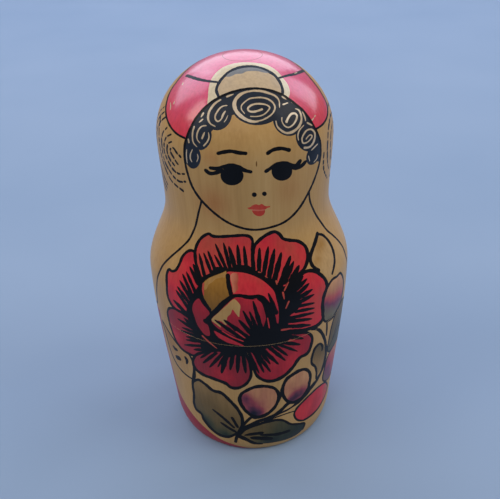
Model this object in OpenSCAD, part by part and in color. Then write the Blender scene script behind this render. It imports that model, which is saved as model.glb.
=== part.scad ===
// Matryoshka: a set of turned wooden dolls, each standing inside the next.
// Every doll but the last opens into a lower cup and an upper cap that meet at a seam.
// The cap slides over a collar that stands up from the cup's rim.
// All dolls share one outline. The outermost is drawn from the sizes below, and each
// inner doll is smaller by the same ratio, which follows from the walls.
// Millimetres, +Z up, origin at the centre of the outer doll's base, front towards -Y.

/* [Outline of the outer doll] */
// Diameter of the flat base
base_d = 47.5; // [40:0.5:52]
// Diameter of the body just above its rounded foot
foot_d = 53.5; // [49:0.5:58]
// Height of the rounded foot
foot_h = 8; // [4:0.5:14]
// Outward lean of the wall just above the foot, in degrees
foot_lean = 5; // [0:0.5:8]
// Diameter of the belly, the widest place
belly_d = 62; // [57:0.5:68]
// Height from the foot's edge up to the belly
body_h = 53.5; // [48:0.5:62]
// Height from the belly up to the neck
shoulder_h = 22; // [17:0.5:28]
// Diameter of the head at its widest place
head_d = 50.5; // [45:0.5:55]
// Depth of the neck, measured in from the side of the head
neck_depth = 0.8; // [0.3:0.1:1.6]
// Height from the neck up to the head's widest place
face_h = 19.5; // [15:0.5:25]
// Height of the domed crown above the head's widest place
crown_h = 22; // [17:0.5:27]

/* [Seam and collar] */
// Height of the seam between the two halves
seam_h = 48.5; // [42:0.5:56]
// Height of the collar above the seam
collar_h = 9; // [6:0.5:12]
// Wall of the collar
collar_wall = 2.5; // [1.8:0.1:3.2]
// Wall of the cap around the collar, at the seam
socket_wall = 2.3; // [1.6:0.1:3]
// Running clearance around every collar, the same on all dolls
collar_fit = 0.08; // [0.04:0.01:0.1]
// Clearance above the collar's end
collar_end_gap = 0.5; // [0.3:0.1:1]
// Bevel on the collar's leading edge
collar_bevel = 0.7; // [0.3:0.1:1.2]
// Bevel on both edges of the seam
seam_bevel = 0.3; // [0.1:0.05:0.5]

/* [Nesting] */
// Number of dolls in the set, the solid one included
doll_count = 7; // [3:1:9]
// Thickness of the cup's floor
floor_t = 7.5; // [5:0.5:11]
// Gap around a doll inside the next
nest_gap = 0.9; // [0.6:0.1:1.3]
// Gap above a doll's crown inside the next
headroom = 2; // [1:0.5:3.5]

/* [Hidden] */
// Points along each stretch of the outline
curve_steps = 16;

base_r = base_d / 2;
foot_r = foot_d / 2;
belly_r = belly_d / 2;
head_r = head_d / 2;
foot_slope = tan(foot_lean);
foot_swell = foot_r - base_r - foot_slope * foot_h;
neck_r = head_r - neck_depth;

belly_z = foot_h + body_h;
neck_z = belly_z + shoulder_h;
head_z = neck_z + face_h;
doll_h = head_z + crown_h;
collar_z = seam_h + collar_h;
socket_z = collar_z + collar_end_gap;

// A doll is as wide as the walls, the fit and the gap around it leave room for
nest_ratio = (outline_r(seam_h) - socket_wall - collar_fit - collar_wall - nest_gap) / belly_r;
mouth_r = nest_ratio * belly_r + nest_gap;
collar_r = mouth_r + collar_wall;

last = doll_count - 1;

function lower_name(k) = str("doll_", k, "_lower");
function upper_name(k) = str("doll_", k, "_upper");

// Size of doll k against the outer doll, and the height at which it stands
function doll_scale(k) = pow(nest_ratio, k - 1);
function standing_z(k) = k == 1 ? 0 : standing_z(k - 1) + floor_t * doll_scale(k - 1);

// Radius at height z on a smooth curve between two places [height, radius, slope]
function curve_r(low, high, z) =
    let (
        rise = high[0] - low[0],
        t = (z - low[0]) / rise,
        start = pow(1 - t, 2),
        end = pow(t, 2)
    )
    low[1] * start * (1 + 2 * t) + high[1] * end * (3 - 2 * t)
        + rise * (low[2] * t * start - high[2] * (1 - t) * end);

// Radius of the outer doll at height z
function outline_r(z) =
    z < foot_h ? base_r + foot_slope * z + foot_swell * sqrt(1 - pow(1 - z / foot_h, 2)) :
    z < belly_z ? curve_r([foot_h, foot_r, foot_slope], [belly_z, belly_r, 0], z) :
    z < neck_z ? curve_r([belly_z, belly_r, 0], [neck_z, neck_r, 0], z) :
    z < head_z ? curve_r([neck_z, neck_r, 0], [head_z, head_r, 0], z) :
    head_r * sqrt(max(0, 1 - pow((z - head_z) / crown_h, 2)));

function stretch(low, high) =
    [for (i = [1 : curve_steps]) low + (high - low) * i / curve_steps];

// Heights at which the outline has a point, closer together on the foot and the crown
turn = 90 / curve_steps;
heights = concat(
    [for (a = [0 : turn : 90]) foot_h * (1 - cos(a))],
    stretch(foot_h, belly_z),
    stretch(belly_z, neck_z),
    stretch(neck_z, head_z),
    [for (i = [1 : curve_steps]) head_z + crown_h * sin(i * turn)]
);

// Radius that the doll inside needs at its own height u, so that it can be drawn straight out
function draw_r(u) = u > belly_z && u < head_z ? max(outline_r(u), head_r) : outline_r(u);

// Radius of the hollow in the cup and in the cap, around the doll inside
function cup_r(z) =
    let (u = (z - floor_t) / nest_ratio)
    u < belly_z ? nest_ratio * outline_r(u) + nest_gap : mouth_r;
function cap_r(z) =
    let (u = (z - floor_t - headroom) / nest_ratio)
    u > belly_z ? nest_ratio * draw_r(u) + nest_gap : mouth_r;

// Heights in the hollow that match the outline of the doll inside
cup_heights = [for (u = heights) if (u < belly_z) floor_t + nest_ratio * u];
cap_heights = [for (u = heights) if (u > belly_z) floor_t + headroom + nest_ratio * u];

function reversed(list) = [for (i = [len(list) - 1 : -1 : 0]) list[i]];

lower_outside = concat(
    [[0, 0]],
    [for (z = heights) if (z < seam_h - seam_bevel) [outline_r(z), z]],
    [[outline_r(seam_h - seam_bevel), seam_h - seam_bevel]],
    [[outline_r(seam_h) - seam_bevel, seam_h]]
);
collar = [
    [collar_r, seam_h],
    [collar_r, collar_z - collar_bevel],
    [collar_r - collar_bevel, collar_z]
];
cup_hollow = concat(
    [[cup_r(collar_z), collar_z]],
    [for (z = reversed(cup_heights)) if (z < collar_z) [cup_r(z), z]],
    [[0, floor_t]]
);
upper_outside = concat(
    [[outline_r(seam_h) - seam_bevel, seam_h]],
    [[outline_r(seam_h + seam_bevel), seam_h + seam_bevel]],
    [for (z = heights) if (z > seam_h + seam_bevel) [outline_r(z), z]]
);
cap_hollow = concat(
    [[0, max(cap_heights)]],
    [for (z = reversed(cap_heights)) if (z > socket_z) [cap_r(z), z]],
    [[cap_r(socket_z), socket_z]]
);

// Turns a section of the outer doll into a piece of doll k
module turned(section, k) {
    translate([0, 0, standing_z(k)]) rotate_extrude() polygon(section * doll_scale(k));
}

module lower_half(k) {
    color("BurlyWood") turned(concat(lower_outside, collar, cup_hollow), k);
}

module upper_half(k) {
    // The running clearance stays the same as the dolls get smaller
    socket_r = collar_r + collar_fit / doll_scale(k);
    socket = [[socket_r, socket_z], [socket_r, seam_h]];
    color("Goldenrod") turned(concat(upper_outside, cap_hollow, socket), k);
}

module seed_doll() {
    outside = [for (z = heights) [outline_r(z), z]];
    color("Wheat") turned(concat([[0, 0]], outside), doll_count);
}

for (k = [1 : last]) {
    lower_half(k);
    upper_half(k);
}
seed_doll();
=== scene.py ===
"""Looks of a set of painted and lacquered nesting dolls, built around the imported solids.

Every doll is a turned shape read from the frame. Its painting is drawn on the outer doll, with brush
strokes whose points are pixels of the photograph, cast through the camera onto the wood. The strokes
cut the surface into faces, each with the paint that lies on top there, and all dolls share the result.
"""
import math

import bpy
import numpy as np
from mathutils import Matrix, Vector
from mathutils.geometry import delaunay_2d_cdt


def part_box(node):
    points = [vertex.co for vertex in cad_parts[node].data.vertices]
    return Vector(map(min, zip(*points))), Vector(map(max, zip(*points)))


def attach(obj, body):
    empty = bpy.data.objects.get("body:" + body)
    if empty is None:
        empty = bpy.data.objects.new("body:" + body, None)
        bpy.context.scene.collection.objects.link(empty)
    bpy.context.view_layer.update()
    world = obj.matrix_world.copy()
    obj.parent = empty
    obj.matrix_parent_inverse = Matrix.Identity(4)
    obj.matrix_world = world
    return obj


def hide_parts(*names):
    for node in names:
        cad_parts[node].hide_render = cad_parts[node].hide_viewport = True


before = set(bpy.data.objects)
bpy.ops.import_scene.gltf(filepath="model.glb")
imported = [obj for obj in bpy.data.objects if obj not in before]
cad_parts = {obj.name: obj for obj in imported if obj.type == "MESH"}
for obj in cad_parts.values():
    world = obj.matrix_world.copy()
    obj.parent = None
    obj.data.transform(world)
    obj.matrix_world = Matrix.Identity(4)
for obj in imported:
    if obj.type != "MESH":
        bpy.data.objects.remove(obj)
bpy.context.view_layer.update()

# Lengths are millimetres until a mesh is made, and angles are radians, counted from the front
MM = 0.001
FULL_TURN = 2 * math.pi
# An angle a little past the back, where the edge of a painted area may run out of the wood
BEYOND = math.pi + 0.1

# Camera, solved from the outline of the doll in the photograph, whose pixels are used below
PICTURE_W = 500
PICTURE_H = 499
LENS = 51.87
SENSOR = 36.0
CAMERA_PLACE = np.array([0.0, -193.96, 181.4])
CAMERA_PITCH = math.radians(31.47)
CAMERA_ROLL = math.radians(1.784)
CAMERA_YAW = math.radians(0.12)
FOCAL_PIXELS = LENS / SENSOR * PICTURE_W

# Paints, in the order of the material slots
PAINTS = ["wood", "red", "hood", "ink", "ochre", "bud", "plum", "leaf", "lips", "pale", "bare"]

# Widths of the brush strokes
BROAD = 1.05
MIDDLE = 0.88
LASH = 1.25
BROW = 1.15
PEN = 0.68
FINE = 0.44

# Tones of a paint
LIGHT = 0.0
PLAIN = 0.5
DARK = 1.0


def camera_axes():
    """Directions to the right, downwards and into the picture."""
    forward = np.array([
        math.sin(CAMERA_YAW) * math.cos(CAMERA_PITCH),
        math.cos(CAMERA_YAW) * math.cos(CAMERA_PITCH),
        -math.sin(CAMERA_PITCH),
    ])
    level = np.cross(forward, (0, 0, 1))
    level /= np.linalg.norm(level)
    drop = np.cross(forward, level)
    right = math.cos(CAMERA_ROLL) * level + math.sin(CAMERA_ROLL) * drop
    down = math.cos(CAMERA_ROLL) * drop - math.sin(CAMERA_ROLL) * level
    return right, down, forward


def add_camera():
    right, down, forward = camera_axes()
    data = bpy.data.cameras.new("camera")
    data.lens = LENS
    data.sensor_width = SENSOR
    data.sensor_fit = "HORIZONTAL"
    data.clip_start = 0.01
    camera = bpy.data.objects.new("camera", data)
    turn = Matrix(np.column_stack([right, -down, -forward]).tolist()).to_4x4()
    camera.matrix_world = Matrix.Translation(Vector(CAMERA_PLACE * MM)) @ turn
    bpy.context.scene.collection.objects.link(camera)
    bpy.context.scene.camera = camera


# Curves

def spline(points, closed=False, gap=1.2):
    """Places about one gap apart on a smooth curve through the points."""
    p = np.asarray(points, float)
    if closed:
        p = np.vstack([p[-1:], p, p[:2]])
    else:
        p = np.vstack([2 * p[0] - p[1], p, 2 * p[-1] - p[-2]])
    pieces = []
    for before, start, end, after in zip(p, p[1:], p[2:], p[3:]):
        lead = math.sqrt(np.linalg.norm(start - before))
        span = math.sqrt(np.linalg.norm(end - start))
        tail = math.sqrt(np.linalg.norm(after - end))
        step = end - start
        leave = step + span * ((start - before) / lead - (end - before) / (lead + span))
        reach = step + span * ((after - end) / tail - (after - start) / (span + tail))
        count = max(1, round(np.linalg.norm(step) / gap))
        t = np.arange(count)[:, None] / count
        bend = (leave + reach - 2 * step) * t ** 3 + (3 * step - 2 * leave - reach) * t ** 2
        pieces.append(start + leave * t + bend)
    if not closed:
        pieces.append(p[-2:-1])
    return np.vstack(pieces)


def lengths(line):
    """Distance of each point from the start of its line."""
    return np.concatenate([[0.0], np.cumsum(np.linalg.norm(np.diff(line, axis=0), axis=1))])


# Factors that scatter the values of a sine
SCATTER_PACE = 12.9898
SCATTER_SIZE = 43758.5453


def hand(number):
    """A value from 0 to 1 for a stroke's number, so that no two strokes are quite alike."""
    return (math.sin(number * SCATTER_PACE) * SCATTER_SIZE) % 1.0


# The turned shape of the outer doll, as the frame gives it

# Rings closer together than this are one ring
RING_MERGE = 0.05
# Least share of a face's normal that looks outwards or inwards
LEAST_FACING = 0.01
# Rings this near to the seam lie on it
SEAM_SLACK = 0.01
# Distance between the points of the fine outline
PROFILE_GAP = 0.06
# Radius at which angles are counted as lengths on the wood
MEAN_R = 27.0


def by_height(ring):
    return round(ring[1], 2), -ring[0]


def rings(node, facing):
    """Radius and height of the rings of a turned node's faces that look outwards (1) or inwards (-1)."""
    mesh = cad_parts[node].data
    places = set()
    for face in mesh.polygons:
        centre = face.center
        radius = math.hypot(centre.x, centre.y)
        if (face.normal.x * centre.x + face.normal.y * centre.y) * facing > LEAST_FACING * radius:
            for index in face.vertices:
                x, y, z = mesh.vertices[index].co
                places.add((round(math.hypot(x, y) / MM, 4), round(z / MM, 4)))
    found = []
    for place in sorted(places):
        if all(math.dist(place, other) > RING_MERGE for other in found):
            found.append(place)
    return sorted(found, key=by_height)


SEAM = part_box("doll_1_upper")[0][2] / MM
lower_out = rings("doll_1_lower", 1)
upper_out = rings("doll_1_upper", 1)
cup = rings("doll_1_lower", -1)
# The upper rim hangs this far above the lower one, so that their faces do not share a plane
RIM_GAP = 0.003
cap = [(r, max(z, SEAM + RIM_GAP)) for r, z in rings("doll_1_upper", -1)]

below_seam = [ring for ring in lower_out if ring[1] < SEAM - SEAM_SLACK]
above_seam = [ring for ring in upper_out if ring[1] > SEAM + SEAM_SLACK]
collar = [ring for ring in lower_out if ring[1] > SEAM - SEAM_SLACK][1:]
corners = np.array(below_seam + above_seam)

profile = spline(corners, gap=PROFILE_GAP)
profile_r = np.clip(profile[:, 0], 0.0, corners[:, 0].max())
profile_z = np.maximum.accumulate(profile[:, 1])
profile_h = lengths(profile)
profile_tilt = np.gradient(profile, profile_h, axis=0)
CORNER_H = np.interp(corners[:, 1], profile_z, profile_h)
OUTLINE_H = profile_h[-1]

# The seam is fine: the paint runs on to a small rounding of both rims
SEAM_ROUNDING = 0.025
RIM_Z = np.array([SEAM - SEAM_ROUNDING, SEAM, SEAM + SEAM_ROUNDING])
RIM_R = np.interp(RIM_Z, profile_z, profile_r) - (0, SEAM_ROUNDING, 0)
lower_rim, seam_edge, upper_rim = zip(RIM_R, RIM_Z)
LOW_EDGE_H, _, HIGH_EDGE_H = np.interp(RIM_Z, profile_z, profile_h)


def radius_at(h):
    return np.interp(h, profile_h, profile_r)


def on_wood(wrap):
    """Points in space of places (angle, length up the outline)."""
    a, h = wrap.T
    r = radius_at(h)
    return np.column_stack([r * np.sin(a), -r * np.cos(a), np.interp(h, profile_h, profile_z)])


def normal_on_wood(wrap):
    a, h = wrap.T
    out = np.interp(h, profile_h, profile_tilt[:, 1])
    up = -np.interp(h, profile_h, profile_tilt[:, 0])
    size = np.hypot(out, up)
    return np.column_stack([out * np.sin(a), -out * np.cos(a), up]) / size[:, None]


# Distances from the camera at which the wood is looked for, and how often a step is then halved
RAY_STEP = 0.5
RAY_DEPTHS = np.arange(100.0, 340.0, RAY_STEP)
RAY_HALVINGS = 24


def seen_at(pixels):
    """Places (angle, length up the outline) of the outer doll that show at pixels of the photograph."""
    pixels = np.asarray(pixels, float)
    right, down, forward = camera_axes()
    x = (pixels[:, :1] - PICTURE_W / 2) / FOCAL_PIXELS
    y = (pixels[:, 1:] - PICTURE_H / 2) / FOCAL_PIXELS
    rays = forward + x * right + y * down
    rays /= np.linalg.norm(rays, axis=1)[:, None]

    def depth(t):
        """How far a ray's points lie outside the wood."""
        place = CAMERA_PLACE + rays[:, None, :] * t[..., None]
        wood = np.interp(place[..., 2], profile_z, profile_r, left=0.0, right=0.0)
        return np.hypot(place[..., 0], place[..., 1]) - wood

    outside = depth(np.broadcast_to(RAY_DEPTHS, (len(rays), len(RAY_DEPTHS))))
    entered = (outside < 0).any(axis=1)
    first = np.where(entered, (outside < 0).argmax(axis=1), outside.argmin(axis=1))
    near = RAY_DEPTHS[first]
    low = near - RAY_STEP
    high = near.copy()
    for _ in range(RAY_HALVINGS):
        middle = (low + high) / 2
        sunk = depth(middle[:, None])[:, 0] < 0
        high = np.where(sunk, middle, high)
        low = np.where(sunk, low, middle)
    t = np.where(entered, high, near)
    place = CAMERA_PLACE + rays * t[:, None]
    angle = np.arctan2(place[:, 0], -place[:, 1])
    return np.column_stack([angle, np.interp(place[:, 2], profile_z, profile_h)])


# Brush work

# Factors that turn places (angle, length up the outline) into lengths on the wood
METRIC = np.array([MEAN_R, 1.0])
# Points of a stroke's round end
CAP_POINTS = 4
# Distance from the camera at which a stroke looks as wide as it is written
STROKE_DISTANCE = 218.0
# Least share of a width that still shows where the wood is turned aside
LEAST_SHOWN = 0.65
# Reach of a stroke's thinning as a share of its length, and how full the thinned part is
TAPER_REACH = 0.6
TAPER_POWER = 0.6
# Unsteadiness of the hand: shares of the width, and how fast they come and go along a stroke
SLOW_SHARE = 0.07
SLOW_PACE = 1.7
SLOW_START = 9
QUICK_SHARE = 0.04
QUICK_PACE = 4.1
# Hatching: the share of its width that is left at the tip, and the reach of its thinning
SPIKE_TIP = 0.3
SPIKE_REACH = 0.42
# Dashes of the dotted rows: their length, their width against a fine line, and the gap after them,
# each with how much more it may be
DASH_LENGTH = 0.5
DASH_LENGTH_MORE = 1.9
DASH_WIDTH = 1.2
DASH_WIDTH_MORE = 0.5
DASH_GAP = 0.85
DASH_GAP_MORE = 0.4
DASH_POINTS = 5
# Steps to the numbers that are drawn for a dash's width and gap
WIDTH_DRAW = 3
GAP_DRAW = 5


def spread(line, side):
    """How much wider strokes are on the wood than they look, where it is far away or turned aside."""
    view = CAMERA_PLACE - on_wood(line)
    distance = np.linalg.norm(view, axis=1)
    view /= distance[:, None]
    across = np.column_stack([np.cos(line[:, 0]), np.sin(line[:, 0]), 0 * distance])
    up = np.cross(normal_on_wood(line), across)
    step = side[:, :1] * across + side[:, 1:] * up
    shown = np.linalg.norm(step - (step * view).sum(axis=1)[:, None] * view, axis=1)
    return distance / STROKE_DISTANCE / np.maximum(shown, LEAST_SHOWN)


def ribbon(line, width, start=1.0, end=1.0, reach=TAPER_REACH):
    """Edge of a brush stroke along places on the wood.

    It is thinned at its start and end to these shares of the width, over this reach of its length.
    """
    scale = np.column_stack([radius_at(line[:, 1]), np.ones(len(line))])
    run = np.gradient(line, axis=0) * scale
    run /= np.linalg.norm(run, axis=1)[:, None]
    side = np.column_stack([-run[:, 1], run[:, 0]])
    along = lengths(line * METRIC)
    t = along / along[-1]
    grow = start + (1 - start) * np.clip(t / reach, 0, 1) ** TAPER_POWER
    shrink = end + (1 - end) * np.clip((1 - t) / reach, 0, 1) ** TAPER_POWER
    slow = SLOW_SHARE * np.sin(along * SLOW_PACE + line[0, 1] * SLOW_START)
    quick = QUICK_SHARE * np.sin(along * QUICK_PACE)
    half = (width / 2 * grow * shrink * (1 + slow + quick) * spread(line, side))[:, None]
    left = line + side * half / scale
    right = line - side * half / scale
    arc = np.linspace(0, math.pi, CAP_POINTS + 2)[1:-1, None]
    tip = line[-1] + half[-1] * (np.cos(arc) * side[-1] + np.sin(arc) * run[-1]) / scale[-1]
    root = line[0] - half[0] * (np.cos(arc) * side[0] + np.sin(arc) * run[0]) / scale[0]
    return np.vstack([left, tip, right[::-1], root])


def oval(x, y, half_w, half_h, tilt=0.0, count=28):
    """Pixels round a tilted oval."""
    t = np.arange(count) * FULL_TURN / count
    u = half_w * np.cos(t)
    v = half_h * np.sin(t)
    turn = math.radians(tilt)
    return np.column_stack([
        x + u * math.cos(turn) - v * math.sin(turn),
        y + u * math.sin(turn) + v * math.cos(turn),
    ])


def wrapped(places):
    """Places given as an angle in degrees and a length up the outline."""
    return np.array([(math.radians(angle), h) for angle, h in places])


def smooth(places, closed=False):
    """A smooth line through places on the wood."""
    return spline(np.asarray(places) * METRIC, closed) / METRIC


def even(value):
    """A tone that is the same all over."""
    return lambda places: np.full(places.shape[:-1], value)


def fade(light, dark, first, last):
    """A tone that goes from a first value to a last one between two pixels."""
    origin, goal = seen_at([light, dark])
    axis = (goal - origin) * METRIC
    axis /= axis @ axis
    return lambda places: first + (last - first) * np.clip(((places - origin) * METRIC) @ axis, 0, 1)


def climb(low, high, first, last):
    """A tone that goes from a first value to a last one between two lengths up the outline."""
    return lambda places: first + (last - first) * np.clip((places[..., 1] - low) / (high - low), 0, 1)


def glow(middle, size, strength):
    """A tone that dies away around a pixel, over a size in millimetres."""
    centre = seen_at([middle])[0]
    return lambda places: strength * np.exp(-(((places - centre) * METRIC) ** 2).sum(axis=-1) / size ** 2)


class Painting:
    """Areas of paint on the wood, each on top of the ones before it."""

    def __init__(self):
        self.layers = []

    def area(self, paint, edge, *tones):
        """Paints inside an edge of places. The tones are added up, and 0 is light and 1 is dark."""
        self.layers.append((PAINTS.index(paint), edge, tones or (even(PLAIN),)))

    def shape(self, paint, pixels, *tones):
        self.area(paint, seen_at(spline(pixels, closed=True)), *tones)

    def stroke(self, paint, pixels, width, start=1.0, end=1.0, tone=PLAIN):
        self.area(paint, ribbon(seen_at(spline(pixels)), width, start, end), even(tone))

    def spike(self, tip, root, width):
        """A straight stroke of ink that is blunt at its root and drawn out at its tip."""
        self.area("ink", ribbon(seen_at(spline([root, tip])), width, end=SPIKE_TIP, reach=SPIKE_REACH))

    def loop(self, paint, line, width):
        """A closed stroke along places on the wood."""
        self.area(paint, ribbon(np.vstack([line, line[:2]]), width))

    def dashes(self, line, number):
        """A row of short pen strokes along places on the wood."""
        along = lengths(line * METRIC)
        at = 0.0
        while at < along[-1] - DASH_LENGTH:
            size = DASH_LENGTH + DASH_LENGTH_MORE * hand(number)
            steps = np.linspace(at, min(at + size, along[-1]), DASH_POINTS)
            dash = np.column_stack([np.interp(steps, along, side) for side in line.T])
            self.area("ink", ribbon(dash, FINE * (DASH_WIDTH + DASH_WIDTH_MORE * hand(number + WIDTH_DRAW))))
            at += size + DASH_GAP + DASH_GAP_MORE * hand(number + GAP_DRAW)
            number += 1


# Head, in pixels of the photograph

FACE_EDGE = [
    (258.3, 88.5), (247, 88.8), (232, 92), (218, 98), (206, 106.5), (196, 118), (189.5, 130), (185.5, 141),
    (184.3, 148.5), (184.8, 160), (187, 171), (192, 186), (199.5, 198), (212, 211), (227, 222), (242, 228),
    (254.5, 229.8), (268, 228), (284.5, 222), (297, 211), (308, 193.5), (316, 175), (320, 160),
    (320.8, 148.5), (319.5, 138.5), (313, 124.6), (304, 111.5), (293, 102), (282, 94.6), (271, 90.5),
]
HAIRLINE = [
    (318, 162), (309, 149), (298, 135), (280, 121), (258, 112), (233, 115), (212, 131), (199, 150),
    (187, 165),
]
HAIR_TOP = FACE_EDGE[9::-1] + FACE_EDGE[:21:-1]
# Tone of the hair's ink, near its bluish grey end: a painted sheen of the sky on the black hair
HAIR_SHEEN_TONE = 0.95
# Centre, half width, half height and tilt of each curl
CURLS = [
    (256.4, 107.2, 25.0, 18.0, 3), (218.9, 115.9, 12.6, 15.0, 28), (202.2, 137.6, 9.2, 12.8, 16),
    (193.3, 157.3, 7.6, 11.4, 0), (288.2, 119.6, 15.2, 16.6, -20), (307.4, 137.2, 11.6, 14.4, -10),
    (313.2, 155.2, 6.4, 10.2, 22),
]
# Tone of the pale lines in the curls, and the share of their widths with which they are drawn
CURL_LINE_TONE = 0.45
CURL_LINE_SHARE = 0.9
# Pale lines in the curls: pixels, width, and the shares of it that are left at the start and the end
CURL_LINES = [
    ([(248, 91.3), (241.2, 94), (236.3, 98.5), (234.4, 103), (234.6, 107), (236.5, 111.4), (240.6, 115.8),
      (246.4, 119.6), (252.6, 121.5), (258, 121.6)], 1.4, 0.35, 0.35),
    ([(256, 121.4), (262.3, 120), (268.2, 117), (273, 112.8), (275, 107.5), (273, 102.8), (268.2, 99.2),
      (261.7, 97.5), (255.8, 97.7), (249.8, 98.6), (244.5, 102.2), (241.5, 105.7), (241.5, 109.3),
      (244.5, 113.4)], 0.56, 0.8, 0.5),
    ([(246, 92), (254.6, 90.6), (261.7, 91.2), (268.2, 93), (275.3, 96), (278.9, 100.4),
      (279.5, 107.5)], 0.85, 0.5, 0.2),
    ([(250.4, 116.4), (257.5, 116.4), (263.5, 114.6), (268.2, 110.5), (269.7, 107.5), (267, 105.1),
      (261.7, 103.9), (255.8, 103.9), (250.4, 105.7), (247.8, 108.7), (249.2, 111.1), (254, 111.7),
      (258.7, 110.5), (262, 109.3)], 0.56, 0.5, 1.3),
    ([(220.5, 99.8), (215.3, 103.2), (211.3, 107.8), (208.7, 113), (208.1, 118.7), (210.1, 123.3),
      (215.3, 126.5)], 0.8, 0.6, 0.3),
    ([(227, 105.5), (223.7, 105.9), (220.3, 107.8), (217.3, 111.6), (215.3, 115.5), (215.4, 119.2),
      (217.6, 121.4), (220, 120.4), (221.9, 118)], 0.58, 0.5, 0.6),
    ([(221.7, 118.4), (223.2, 114.4), (225.5, 110.9)], 0.85, 0.4, 0.2),
    ([(227.8, 115.4), (226.1, 119.4), (224, 122.2)], 0.3, 0.5, 0.4),
    ([(227, 96.6), (233.5, 94.1)], 0.55, 1.0, 0.3), ([(201, 117), (203.3, 113.3)], 0.55, 0.4, 1.0),
    ([(199.2, 122.2), (202.7, 119.3)], 0.42, 0.6, 1.0),
    ([(194.1, 126.8), (192.9, 130.8), (192.4, 137.1), (193.5, 142.8), (196.9, 146.9)], 0.5, 1.0, 0.4),
    ([(206.1, 125.6), (202.1, 126.2), (198.7, 129.6), (196.9, 134.8), (197.2, 139.4),
      (199.8, 142.8)], 0.55, 0.6, 0.5),
    ([(204.4, 132.5), (202.1, 138.3)], 0.68, 0.5, 0.8),
    ([(208.4, 132.5), (209, 137.1), (207.3, 141.7), (203.8, 145.7)], 0.52, 0.4, 1.0),
    ([(188.3, 139.4), (188.9, 142.3)], 0.45, 1.0, 1.0),
    ([(186.6, 149.7), (186.4, 155.5), (187.2, 163)], 0.36, 0.6, 0.6),
    ([(192.4, 149.7), (190.6, 153.8), (190.3, 158.4), (191.8, 161.8)], 0.45, 0.6, 0.5),
    ([(197.5, 154.3), (198.1, 157.8), (196.7, 161.8)], 0.38, 0.6, 0.5),
    ([(275.9, 121.1), (277.1, 125.9), (280.7, 130), (286.6, 133), (292.5, 131.8), (298.5, 127.1),
      (301.4, 120.6), (300.8, 114), (298.5, 109.9), (295.5, 108.7)], 0.95, 0.35, 0.3),
    ([(281.9, 117.6), (281.9, 121.1), (284.8, 125.9), (288.4, 127.4), (292.5, 125.3), (296.1, 120),
      (297, 115.8), (294.9, 113.4), (291.3, 114), (288.4, 117.6), (286.6, 121.7)], 0.58, 0.5, 1.4),
    ([(283, 104.5), (287.8, 102.8)], 0.48, 1.0, 0.6), ([(291.9, 102.2), (294.9, 103.9)], 0.42, 1.0, 1.0),
    ([(282.4, 96.8), (286, 99.2)], 0.48, 1.0, 0.4),
    ([(302, 110.5), (305, 117.6), (305.6, 120.6)], 0.48, 0.5, 0.6),
    ([(303.8, 125.3), (299.6, 130), (297.9, 135.4), (298.5, 140.1)], 0.5, 0.6, 0.5),
    ([(307.4, 122.9), (312.1, 125.3)], 0.62, 1.0, 0.5),
    ([(304.4, 147.8), (309.1, 147.2), (312.7, 143.7), (314.8, 137.8), (314.5, 132.4), (311.5, 129.4),
      (307.4, 130), (303.8, 134.2), (302, 138.9), (303.2, 143.1), (306.8, 142.5), (310.3, 139.5),
      (312.1, 136), (310.3, 134.8), (307.4, 137.2), (306.2, 138.9)], 0.54, 1.3, 0.7),
    ([(308.5, 156.1), (309.7, 160.9)], 0.38, 0.8, 0.8),
    ([(313.9, 162.1), (316.8, 158.5), (317.7, 155)], 0.38, 0.6, 0.6),
    ([(311.5, 150.2), (317.4, 144.3)], 0.48, 0.5, 1.0),
]
DOME = [
    (218.5, 96.5), (216.4, 89.9), (219.6, 81.7), (227.1, 73.6), (235.3, 68.8), (245.5, 66.6), (256.7, 67),
    (266.9, 70.5), (275.1, 75.8), (280.2, 82.8), (282.6, 89.9), (282.4, 95),
]
DOME_SHADE = [
    (226, 76.5), (230, 72.5), (242, 68.3), (252, 67.5), (262, 69.4), (269, 73), (264, 72.6), (258, 71.2),
    (251, 71), (246, 71.6), (242, 73.6), (236, 74), (231, 76.4),
]
HOOD_INNER = [
    (293, 102), (289, 98), (290, 93), (288, 85), (283, 78), (277, 71), (267, 65), (254.5, 62.8),
    (242, 62.4), (229.5, 64.6), (219.5, 69.6), (212, 78), (209, 86.5), (208, 96.5), (208, 105),
]
HOOD_LEFT = [
    (184.5, 138), (177, 134), (169.5, 125), (166, 114), (166.4, 103), (171, 90), (178, 80),
]
HOOD_RIGHT = [
    (316, 129), (323, 124), (327.6, 114), (326.4, 103), (319.5, 90), (311, 79),
]
# Edges of the hood and of the pale band inside it, along the face
HOOD_FRONT_RIGHT = [HOOD_RIGHT[0], *FACE_EDGE[25:28]]
HOOD_FRONT_LEFT = [*FACE_EDGE[4:8], HOOD_LEFT[0]]
BAND = HOOD_INNER + FACE_EDGE[3::-1] + FACE_EDGE[:27:-1]
HOOD_FOLDS = [
    [(218, 82.2), (205.7, 80.7), (196.5, 78.7), (186.5, 75.4)],
    [(278.2, 78.2), (287.3, 75.6), (294.5, 74.1), (304, 70.4)],
]
# Pale strokes where the lacquer is worn, which also stand in as painted highlights: the hood's glints
HOOD_GLINTS = [
    [(170.3, 102.6), (170.6, 106), (170.2, 109.6)], [(173.4, 104), (174.4, 101.6)],
    [(182.4, 85), (183, 82.6)], [(314.4, 117), (315.4, 115.2)],
    [(310.6, 121.2), (312.6, 119.6), (313.6, 118)], [(294.6, 73.4), (297, 72.4)],
]
# Angle in degrees and length up the outline of the hood's edge round the back of the crown
HOOD_BACK = [(100, 126.5), (125, 129.0), (155, 130.0), (180, 130.0)]
# Lengths up the outline between which the hood gets lighter and pinker towards the crown, a painted sheen
HOOD_SHEEN_FADE = (112.0, 128.0)
# Radius of the ring that the lathe left on top of the crown
LATHE_MARK_R = 5.4
LATHE_MARK_W = 0.22
LATHE_MARK_TONE = 0.95
LATHE_MARK_POINTS = 181

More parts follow.
